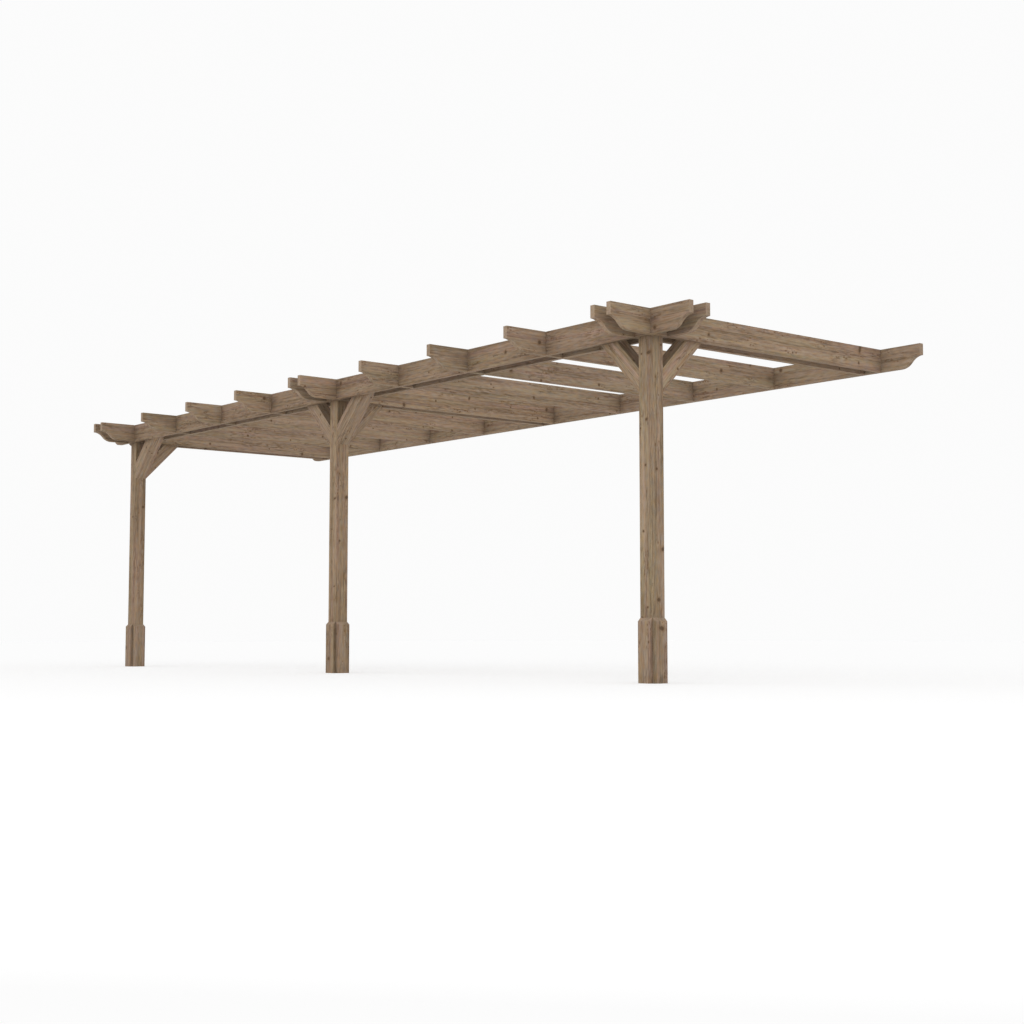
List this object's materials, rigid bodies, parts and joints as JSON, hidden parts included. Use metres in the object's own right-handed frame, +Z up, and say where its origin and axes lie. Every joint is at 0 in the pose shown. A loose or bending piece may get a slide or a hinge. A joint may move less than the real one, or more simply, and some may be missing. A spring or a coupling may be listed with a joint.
{
  "type": "lean-to wooden pergola",
  "caption": "Open timber garden pergola that leans on a wall: square posts, a doubled front beam, rafters with ogee tails, a wall plate and knee braces.",
  "frame": {"origin": "middle of the wall plate's back face, on the wall; the ground is 2.0275 m below it", "axes": "+X to the right along the wall, +Y into the wall, +Z up"},
  "size_m": [7.2, 2.4, 2.1],
  "materials": {
    "post_timber": "planed softwood post with a brown treatment, matt",
    "base_board_timber": "planed softwood board with a brown treatment, matt",
    "roof_board_timber": "planed softwood joist with a brown treatment, matt",
    "brace_timber": "planed softwood brace with a brown treatment, matt"
  },
  "bodies": {
    "root": {"left_post": "post_timber", "middle_post": "post_timber", "right_post": "post_timber", "left_post_base_board_front": "base_board_timber", "left_post_base_board_right": "base_board_timber", "left_post_base_board_back": "base_board_timber", "left_post_base_board_left": "base_board_timber", "middle_post_base_board_front": "base_board_timber", "middle_post_base_board_right": "base_board_timber", "middle_post_base_board_back": "base_board_timber", "middle_post_base_board_left": "base_board_timber", "right_post_base_board_front": "base_board_timber", "right_post_base_board_right": "base_board_timber", "right_post_base_board_back": "base_board_timber", "right_post_base_board_left": "base_board_timber", "front_beam_outer": "roof_board_timber", "front_beam_inner": "roof_board_timber", "wall_plate": "roof_board_timber", "rafter_01": "roof_board_timber", "rafter_02": "roof_board_timber", "rafter_03": "roof_board_timber", "rafter_04": "roof_board_timber", "rafter_05": "roof_board_timber", "rafter_06": "roof_board_timber", "rafter_07": "roof_board_timber", "rafter_08": "roof_board_timber", "rafter_09": "roof_board_timber", "rafter_10": "roof_board_timber", "rafter_11": "roof_board_timber", "rafter_12": "roof_board_timber", "left_post_brace_right": "brace_timber", "left_post_brace_back": "brace_timber", "middle_post_brace_left": "brace_timber", "middle_post_brace_right": "brace_timber", "middle_post_brace_back": "brace_timber", "right_post_brace_left": "brace_timber", "right_post_brace_back": "brace_timber"}
  },
  "joints": []
}
